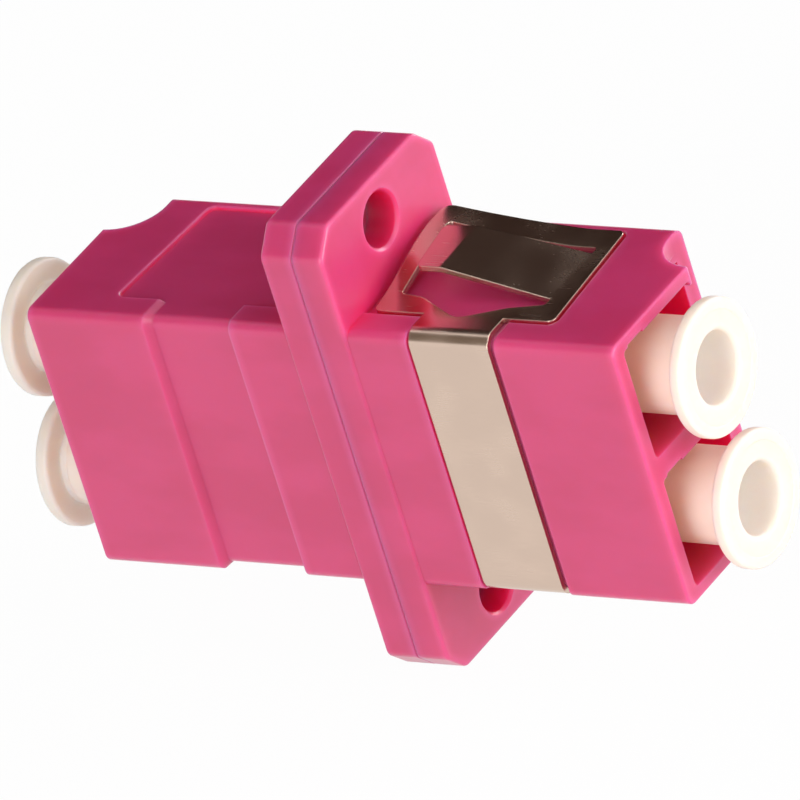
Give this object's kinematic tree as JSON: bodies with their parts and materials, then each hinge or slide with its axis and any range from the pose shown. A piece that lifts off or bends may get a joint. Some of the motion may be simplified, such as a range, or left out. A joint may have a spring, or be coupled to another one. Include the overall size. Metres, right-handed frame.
{
  "type": "lc fibre adapter",
  "caption": "Flanged coupler that joins fibre connectors end to end in a panel, with a snap-in spring clip, screw holes and dust plugs.",
  "frame": {"origin": "on the flange's panel side, midway between its two screw holes", "axes": "+X along the fibres to the clip end, +Y to the latch side of the ports, +Z from port to port and to one screw hole"},
  "size_m": [0.0347, 0.0093, 0.0218],
  "materials": {
    "housing_plastic": "moulded magenta thermoplastic, satin to gloss",
    "clip_steel": "rolled stainless spring steel",
    "plug_plastic": "moulded off-white soft plastic",
    "sleeve_bronze": "phosphor bronze"
  },
  "bodies": {
    "root": {"front_housing": "housing_plastic", "rear_housing": "housing_plastic", "upper_split_sleeve": "sleeve_bronze", "lower_split_sleeve": "sleeve_bronze", "spring_clip": "clip_steel"},
    "front_upper_plug": {"front_upper_dust_plug": "plug_plastic"},
    "front_lower_plug": {"front_lower_dust_plug": "plug_plastic"},
    "rear_upper_plug": {"rear_upper_dust_plug": "plug_plastic"},
    "rear_lower_plug": {"rear_lower_dust_plug": "plug_plastic"}
  },
  "joints": [
    {"name": "front_upper_plug_slide", "type": "slide", "parent": "root", "child": "front_upper_plug", "axis": [-1, 0, 0], "range_m": [0, 0.014]},
    {"name": "front_lower_plug_slide", "type": "slide", "parent": "root", "child": "front_lower_plug", "axis": [-1, 0, 0], "range_m": [0, 0.014]},
    {"name": "rear_upper_plug_slide", "type": "slide", "parent": "root", "child": "rear_upper_plug", "axis": [1, 0, 0], "range_m": [0, 0.014]},
    {"name": "rear_lower_plug_slide", "type": "slide", "parent": "root", "child": "rear_lower_plug", "axis": [1, 0, 0], "range_m": [0, 0.014]}
  ]
}
